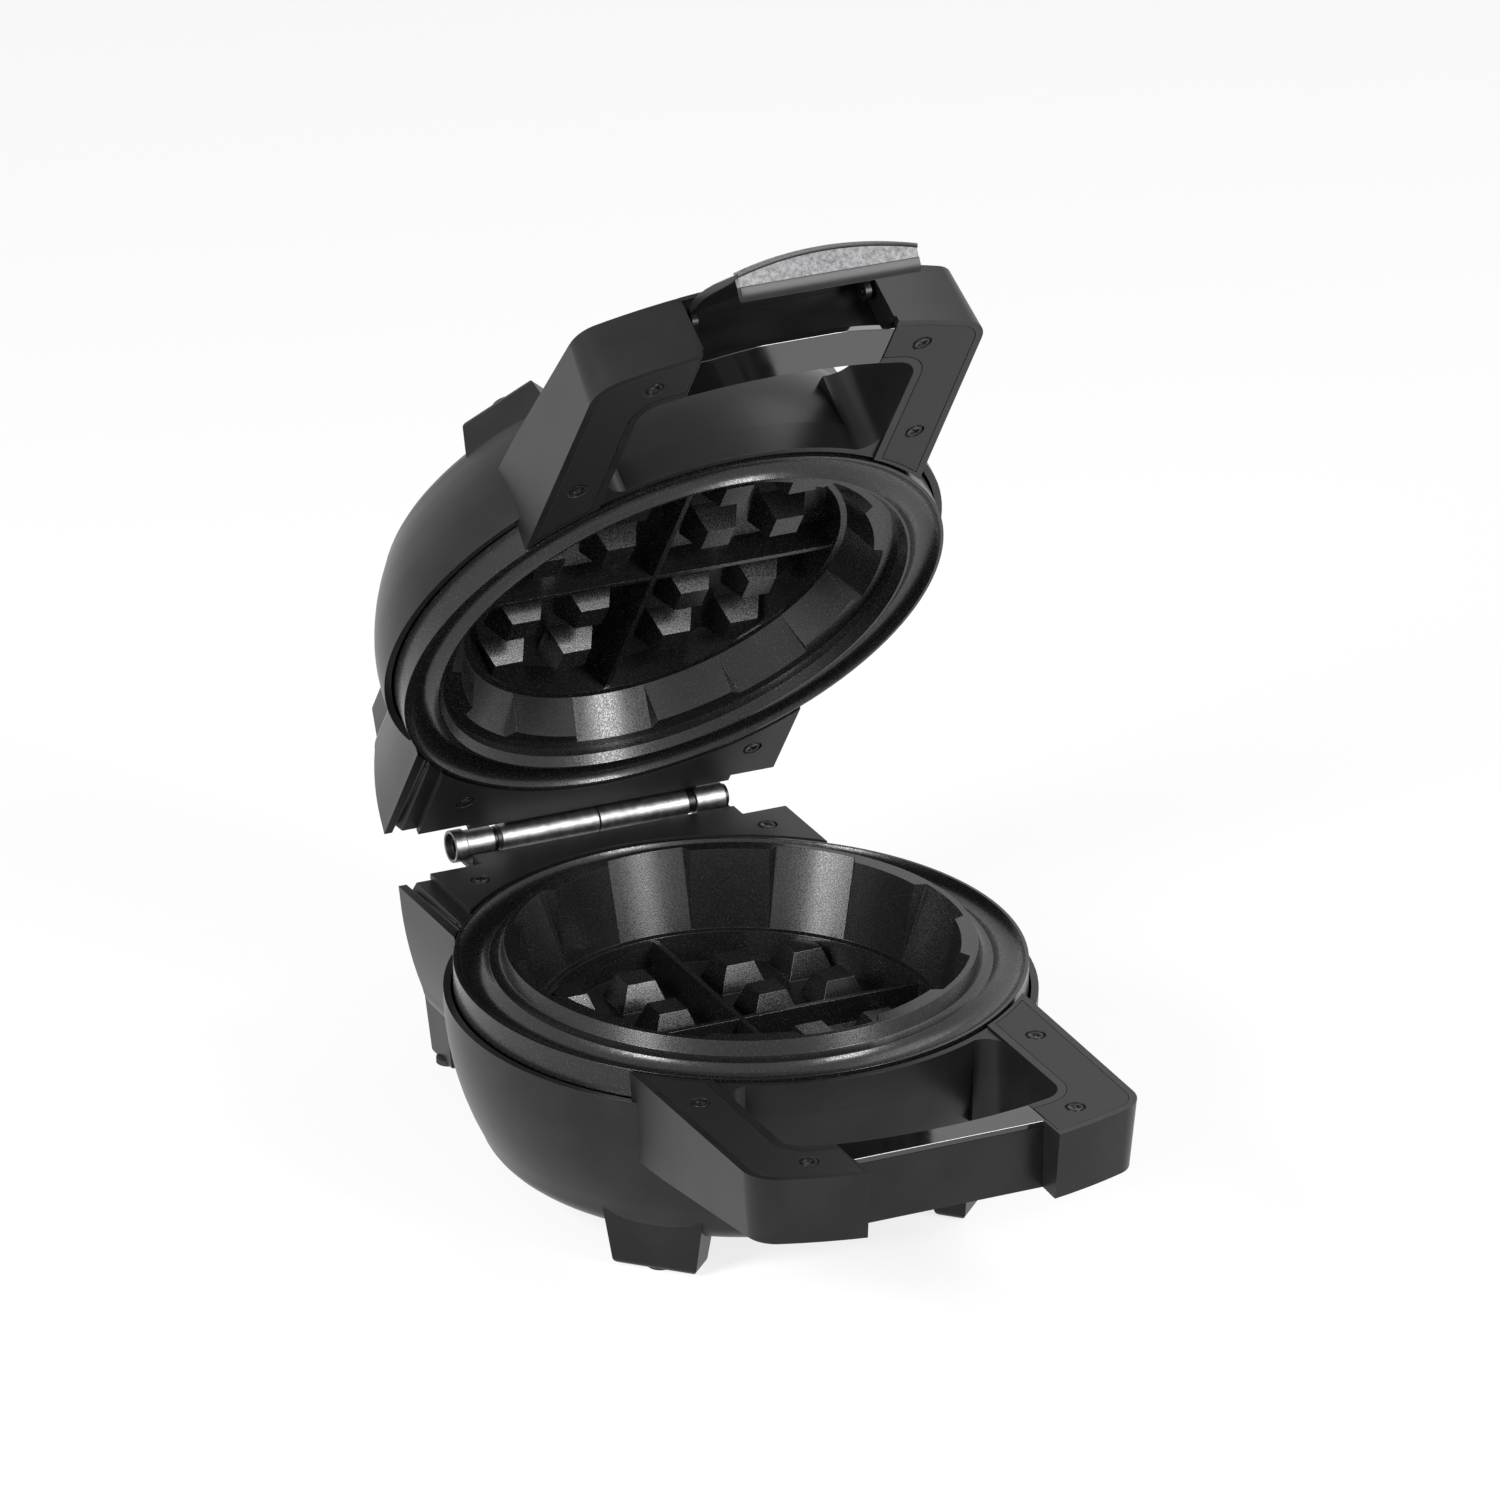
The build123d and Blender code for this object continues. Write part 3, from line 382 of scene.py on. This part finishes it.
def refine(shape, name):
    half = halfOf(name)
    place = halfPlace[half]
    back = place.inverted()
    for vert in shape.verts:
        x, y, z = back @ (vert.co / mm)
        vert.co = (place @ Vector(reshaped[name](x, y, z, half))) * mm
    bmesh.ops.remove_doubles(shape, verts=shape.verts, dist=0.02 * mm)
    bmesh.ops.dissolve_degenerate(shape, dist=0.01 * mm, edges=shape.edges)


# dressed pieces: a merged copy of each visible part with its moulded edges rounded

edgeRounds = {  # radius in millimetres of the rounded edges, and segments
    "lower_housing": (0.8, 2), "upper_housing": (0.8, 2),
    "lower_handle_shell": (0.8, 3), "upper_handle_shell": (0.8, 3),
    "lower_handle_cover_left": (0.25, 2), "lower_handle_cover_right": (0.25, 2),
    "upper_handle_cover_left": (0.25, 2), "upper_handle_cover_right": (0.25, 2),
    "lower_grip_strip": (0.3, 2), "upper_grip_strip": (0.3, 2),
    "lower_hinge_cover": (0.4, 2), "upper_hinge_cover": (0.4, 2),
    "lower_cooking_plate": (0.7, 3), "upper_cooking_plate": (0.7, 3),
    "upper_foot_pads": (0.3, 2), "lower_hinge_bracket": (0.3, 2), "upper_hinge_bracket": (0.3, 2),
    "lower_handle_screws": (0.35, 3), "upper_handle_screws": (0.35, 3),
    "lower_hinge_screws": (0.35, 3), "upper_hinge_screws": (0.35, 3),
    "lower_left_foot": (0.8, 2), "lower_right_foot": (0.8, 2),
    "upper_left_foot": (0.8, 2), "upper_right_foot": (0.8, 2),
    "lower_left_leg": (0.8, 2), "lower_right_leg": (0.8, 2),
    "upper_left_leg": (0.8, 2), "upper_right_leg": (0.8, 2),
}
madeAnew = ("latch_cover", "latch_hook_plate", "latch_pin")
darkSteel = ("latch_pin", "lower_hinge_bracket", "upper_hinge_bracket")  # black in the photograph
edgeLimits = dict(moulded=24, hook=40, tube=60, sharp=35, flat=0.6)  # degrees between faces
screwCross = dict(  # driver recess in each screw head
    reachMm=1.75, halfMm=0.42, depthMm=1.1, taper=0.4, headSides=12, headMm2=8.0, firstTurn=25, turn=50)


def finishOf(name):
    return finishes["black_screw" if name in darkSteel else slotOf[name]]


def bevelEdges(shape, radiusMm, segments, limit):
    sharp = [e for e in shape.edges if len(e.link_faces) == 2 and e.calc_face_angle() > math.radians(limit)]
    bmesh.ops.bevel(shape, geom=sharp, offset=radiusMm * mm, offset_type="OFFSET", affect="EDGES",
                    segments=segments, profile=0.5, material=-1, clamp_overlap=True)


def cutCross(shape, face, turn):  # tapered cross recess in the middle of a screw's flat top
    reach, half = screwCross["reachMm"] * mm, screwCross["halfMm"] * mm
    middle, normal, rim = face.calc_center_median(), face.normal.copy(), list(face.edges)
    side = Matrix.Rotation(math.radians(turn), 3, normal) @ normal.orthogonal().normalized()
    other = normal.cross(side)
    bmesh.ops.delete(shape, geom=[face], context="FACES_ONLY")
    arm = [(reach, -half), (reach, half), (half, half)]
    outline = []
    for quarter in range(4):
        outline += arm
        arm = [(-y, x) for x, y in arm]
    top = [shape.verts.new(middle + side * x + other * y) for x, y in outline]
    deep = middle - normal * screwCross["depthMm"] * mm
    low = [shape.verts.new(deep + (vert.co - middle) * screwCross["taper"]) for vert in top]
    edges = [shape.edges.new((top[i - 1], top[i])) for i in range(len(top))]
    bmesh.ops.triangle_fill(shape, edges=rim + edges, use_beauty=True, use_dissolve=False, normal=normal)
    for i in range(len(top)):
        shape.faces.new((top[i - 1], top[i], low[i], low[i - 1]))
    shape.faces.new(low)


def cutCrosses(shape, name):
    outward = (halfPlace[halfOf(name)].to_3x3() @ Vector((0, 0, 1))).normalized()
    heads = [face for face in shape.faces
             if len(face.verts) >= screwCross["headSides"] and face.normal.dot(outward) > 0.9
             and face.calc_area() > screwCross["headMm2"] * mm * mm]
    for count, face in enumerate(heads):
        cutCross(shape, face, screwCross["firstTurn"] + screwCross["turn"] * count)
    bmesh.ops.recalc_face_normals(shape, faces=shape.faces)


def newPiece(name, mesh=None):
    piece = bpy.data.objects.new(name, mesh or bpy.data.meshes.new(name))
    bpy.context.scene.collection.objects.link(piece)
    return piece


def finishPiece(piece, shape, name, finish, replaces):
    for face in shape.faces:
        face.smooth = True
    shape.to_mesh(piece.data)
    shape.free()
    piece.data.set_sharp_from_angle(angle=math.radians(edgeLimits["sharp"]))
    flatter = piece.modifiers.new("flatter", "WEIGHTED_NORMAL")  # keeps flats flat beside their rounded edges
    flatter.keep_sharp = True
    piece.data.materials.clear()
    piece.data.materials.append(finish)
    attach(piece, bodyOf[name])
    if replaces:
        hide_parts(name)


def roundedCopy(name, radiusMm, segments):
    piece = newPiece(name + "Dressed", nodes[name].data.copy())
    shape = bmesh.new()
    shape.from_mesh(piece.data)
    bmesh.ops.remove_doubles(shape, verts=shape.verts, dist=0.005 * mm)
    if name in reshaped:
        refine(shape, name)
    bmesh.ops.dissolve_limit(
        shape, angle_limit=math.radians(edgeLimits["flat"]), verts=shape.verts, edges=shape.edges)
    bevelEdges(shape, radiusMm, segments, edgeLimits["moulded"])
    if slotOf[name] == "black_screw":
        cutCrosses(shape, name)
    finishPiece(piece, shape, name, finishOf(name), replaces=True)


for name, node in nodes.items():
    if name in edgeRounds:
        roundedCopy(name, *edgeRounds[name])
    elif name not in madeAnew:
        for slot in node.material_slots:
            slot.material = finishOf(name)
print("pieces dressed", len(edgeRounds))


# latch, drawn shut


def sweptSheet(place, section, halfX, bowR, bowBefore=-167.0, steps=24):
    shape = bmesh.new()  # a closed (Y, Z) section drawn out along X, with its front bowed forwards
    end = shape.faces.new([shape.verts.new((-halfX, y, z)) for y, z in section])
    drawnOut = bmesh.ops.extrude_face_region(shape, geom=[end], use_keep_orig=True)
    moved = [item for item in drawnOut["geom"] if isinstance(item, bmesh.types.BMVert)]
    bmesh.ops.translate(shape, verts=moved, vec=(2 * halfX, 0, 0))
    along = [e for e in shape.edges if abs(e.verts[0].co.x - e.verts[1].co.x) > halfX]
    bmesh.ops.subdivide_edges(shape, edges=along, cuts=steps - 1, use_grid_fill=False)
    for vert in shape.verts:
        if vert.co.y < bowBefore:
            vert.co.y -= math.sqrt(bowR * bowR - vert.co.x ** 2) - math.sqrt(bowR * bowR - halfX * halfX)
    bmesh.ops.transform(shape, matrix=toMetres @ place, verts=shape.verts)
    bmesh.ops.recalc_face_normals(shape, faces=shape.faces)
    return shape


def crossRod(shape, place, x, radius, length, segments):  # round rod along X through the latch pivot's line
    spot = Matrix.Translation((x, drawn["latchY"], drawn["latchZ"]))
    bmesh.ops.create_cone(shape, cap_ends=True, segments=segments, radius1=radius, radius2=radius,
                          depth=length, matrix=toMetres @ place @ spot @ alongX)


def makeLatchCover():
    look = latchShape
    shape = sweptSheet(shutLatch, look["outer"] + look["inner"], look["halfX"], look["bowR"])
    bevelEdges(shape, look["coverEdge"], 2, edgeLimits["moulded"])
    for side in (-1, 1):  # pivot eyes
        middleX = side * (look["halfX"] - look["cheek"] / 2)
        crossRod(shape, shutLatch, middleX, look["eyeR"], look["cheek"], 32)
    piece = newPiece("latchCoverDressed")
    finishPiece(piece, shape, "latch_cover", finishes["latch_black"], True)


def makeHook(pieceName, part, name, slot, replaces):
    look = latchShape
    shape = sweptSheet(shutLatch, look[part], look["halfX"] - look["hookIn"], look["bowR"])
    bevelEdges(shape, look["hookEdge"], 2, edgeLimits["hook"])
    finishPiece(newPiece(pieceName), shape, name, finishes[slot], replaces)


pinStubs = dict(middleX=34.0, radius=1.58, length=6.8)  # the middle of the pocket stays clear


def makePinStubs():
    shape = bmesh.new()
    for side in (-1, 1):
        crossRod(shape, shutLid, side * pinStubs["middleX"], pinStubs["radius"], pinStubs["length"], 24)
    finishPiece(newPiece("latchPinStubs"), shape, "latch_pin", finishOf("latch_pin"), True)


makeLatchCover()
makeHook("latchHookFace", "face", "latch_hook_plate", "hook_grey", True)
# the hook's nose is drawn in the latch's black: painted shade for the shade on its downward-facing lip
makeHook("latchHookNosePaintedShade", "nose", "latch_cover", "latch_black", False)
makePinStubs()
print("latch made")


# plates over the hinge straps and outside the latch pocket

tongue = dict(middleX=1.0, wide=102.0, outY=115.2, middleZ=-1.3, thick=2.2, lowerRear=107.4, upperRear=111.8)
pocketWall = dict(
    halfX=35.6, bowR=190.0,
    section=((-161.9, 23.7), (-161.9, 25.25), (-172.6, 25.25), (-172.7, 23.7)),
)


def makeTongue(half):  # carries the hinge cover on over the straps
    look = tongue
    rear = look[half + "Rear"]
    spot = Matrix.Translation((look["middleX"], (rear + look["outY"]) / 2, look["middleZ"]))
    size = Matrix.Diagonal((look["wide"], look["outY"] - rear, look["thick"], 1))
    shape = bmesh.new()
    bmesh.ops.create_cube(shape, size=1.0, matrix=toMetres @ halfPlace[half] @ spot @ size)
    bmesh.ops.recalc_face_normals(shape, faces=shape.faces)
    piece = newPiece(half + "HingeTongue")
    finishPiece(piece, shape, half + "_hinge_cover", finishes["cover_matte"], False)


def makePocketWall():
    shape = sweptSheet(shutLid, pocketWall["section"], pocketWall["halfX"], pocketWall["bowR"])
    piece = newPiece("pocketWall")
    finishPiece(piece, shape, "upper_handle_shell", finishes["body_black"], False)


makeTongue("lower")
makeTongue("upper")
makePocketWall()
print("plates made")


# hinge barrel, collars and the hollow end cap, round the straps' knuckles

hingeTubes = {  # from X, to X, radius and bore in millimetres, and the node that it rides with
    "hingeBarrelLeft": (-36.0, 1.8, 4.9, 0.0, "lower_hinge_bracket"),
    "hingeBarrelRight": (2.2, 37.0, 4.9, 0.0, "upper_hinge_bracket"),
    "hingeCollarRight": (40.0, 51.5, 5.1, 0.0, "lower_hinge_bracket"),
    "hingeCollarLeft": (-49.6, -39.0, 5.1, 0.0, "upper_hinge_bracket"),
    "hingeEndCap": (-54.4, -49.8, 5.9, 4.7, "upper_hinge_bracket"),
}
tubeShape = dict(segments=48, edge=0.3, boreFloor=1.0)


def makeTube(name, fromX, toX, radius, bore, node):
    shape = bmesh.new()
    spot = Matrix.Translation(((fromX + toX) / 2 * mm, hinge[1], hinge[2]))
    bmesh.ops.create_cone(shape, cap_ends=True, segments=tubeShape["segments"], radius1=radius * mm,
                          radius2=radius * mm, depth=(toX - fromX) * mm, matrix=spot @ alongX)
    if bore:
        end = [face for face in shape.faces if face.normal.x < -0.9]
        bmesh.ops.inset_region(shape, faces=end, thickness=(radius - bore) * mm)
        sunk = bmesh.ops.extrude_face_region(shape, geom=end)
        inner = [item for item in sunk["geom"] if isinstance(item, bmesh.types.BMVert)]
        bmesh.ops.translate(shape, vec=((toX - fromX - tubeShape["boreFloor"]) * mm, 0, 0), verts=inner)
        bmesh.ops.delete(shape, geom=end, context="FACES_ONLY")
    bmesh.ops.recalc_face_normals(shape, faces=shape.faces)
    bevelEdges(shape, tubeShape["edge"], 2, edgeLimits["tube"])
    finishPiece(newPiece(name), shape, node, finishes["satin_steel"], False)


for name, tube in hingeTubes.items():
    makeTube(name, *tube)
print("hinge made")


# camera at the photograph's angle

view = dict(azimuth=-25.678, elevation=23.886, roll=0.3136, distance=4165.3, right=2.72, up=70.88, lens=288.0)


def placeCamera():
    a, e = math.radians(view["azimuth"]), math.radians(view["elevation"])
    back = Vector((math.sin(a) * math.cos(e), -math.cos(a) * math.cos(e), math.sin(e)))
    side = Vector((math.cos(a), math.sin(a), 0.0))
    top = back.cross(side)
    r = math.radians(view["roll"])
    right = side * math.cos(r) + top * math.sin(r)
    up = top * math.cos(r) - side * math.sin(r)
    plateMiddle = Vector((0.0, hinge[1] - drawn["hingeY"] * mm, hinge[2]))
    target = plateMiddle + side * view["right"] * mm + top * view["up"] * mm
    spot = target + back * view["distance"] * mm
    camera = bpy.data.objects.new("camera", bpy.data.cameras.new("camera"))
    bpy.context.scene.collection.objects.link(camera)
    camera.data.lens = view["lens"]
    camera.data.sensor_width = 36.0
    camera.data.clip_start = 0.1
    camera.data.clip_end = 50.0
    camera.matrix_world = Matrix((
        (right.x, up.x, back.x, spot.x), (right.y, up.y, back.y, spot.y),
        (right.z, up.z, back.z, spot.z), (0, 0, 0, 1)))
    bpy.context.scene.camera = camera


placeCamera()


# floor, light and background

studio = dict(floorSize=30.0, floorColour="#f4f4f4", floorGlow=0.8, worldLevel=0.3, aimHeight=0.15)
softBoxes = {  # degrees right of the camera, degrees up, metres away, width, height, power
    "keyBox": (-46, 24, 1.7, 0.5, 0.95, 46),
    "fillBox": (53, 26, 1.9, 0.45, 1.2, 42),
    "topBox": (120, 52, 1.8, 1.2, 0.6, 6),
}


def shownTo(tree):  # 1 for the rays that show the backdrop: camera, glossy and transmission
    path = addNode(tree, "ShaderNodeLightPath")
    mirrored = addNode(tree, "ShaderNodeMath", {"operation": "MAXIMUM"}, {
        0: (path, "Is Glossy Ray"), 1: (path, "Is Transmission Ray")})
    shown = addNode(tree, "ShaderNodeMath", {"operation": "MAXIMUM"}, {
        0: (path, "Is Camera Ray"), 1: (mirrored, 0)})
    return shown, 0


def paleFloor():  # matt white paper sweep, shown near white with the object's shadow kept
    material, tree, shader = newMaterial("paperSweep")
    shader.inputs["Base Color"].default_value = hexColour(studio["floorColour"])
    shader.inputs["Roughness"].default_value = 0.9
    shader.inputs["Specular IOR Level"].default_value = 0.0
    glow = addNode(tree, "ShaderNodeEmission", {}, {"Color": (1, 1, 1, 1), "Strength": 1.0})
    share = addNode(tree, "ShaderNodeMath", {"operation": "MULTIPLY"}, {
        0: shownTo(tree), 1: studio["floorGlow"]})
    mix = addNode(tree, "ShaderNodeMixShader", {}, {0: (share, 0), 1: (shader, 0), 2: (glow, 0)})
    tree.links.new(mix.outputs[0], tree.nodes["Material Output"].inputs["Surface"])
    mesh = bpy.data.meshes.new("floor")
    shape = bmesh.new()
    bmesh.ops.create_grid(shape, x_segments=1, y_segments=1, size=studio["floorSize"] / 2)
    shape.to_mesh(mesh)
    shape.free()
    floor = bpy.data.objects.new("floor", mesh)
    bpy.context.scene.collection.objects.link(floor)
    mesh.materials.append(material)


def softBox(name, turn, rise, away, width, height, power):
    a, e = math.radians(view["azimuth"] + turn), math.radians(rise)
    aim = Vector((0, 0, studio["aimHeight"]))
    spot = aim + away * Vector((math.sin(a) * math.cos(e), -math.cos(a) * math.cos(e), math.sin(e)))
    light = bpy.data.lights.new(name, "AREA")
    light.shape = "RECTANGLE"
    light.size, light.size_y, light.energy = width, height, power
    lamp = bpy.data.objects.new(name, light)
    bpy.context.scene.collection.objects.link(lamp)
    lamp.location = spot
    lamp.rotation_euler = (aim - spot).to_track_quat("-Z", "Y").to_euler()


def whiteWorld():
    world = bpy.data.worlds.new("studio")
    bpy.context.scene.world = world
    world.use_nodes = True
    tree = world.node_tree
    back = tree.nodes["Background"]
    back.inputs["Color"].default_value = (1, 1, 1, 1)
    level = addNode(tree, "ShaderNodeMapRange", {}, {
        "Value": shownTo(tree), "To Min": studio["worldLevel"], "To Max": 1.0})
    tree.links.new(level.outputs["Result"], back.inputs["Strength"])


paleFloor()
for name, place in softBoxes.items():
    softBox(name, *place)
whiteWorld()
bpy.context.scene.view_settings.view_transform = "Standard"
print("stage set")
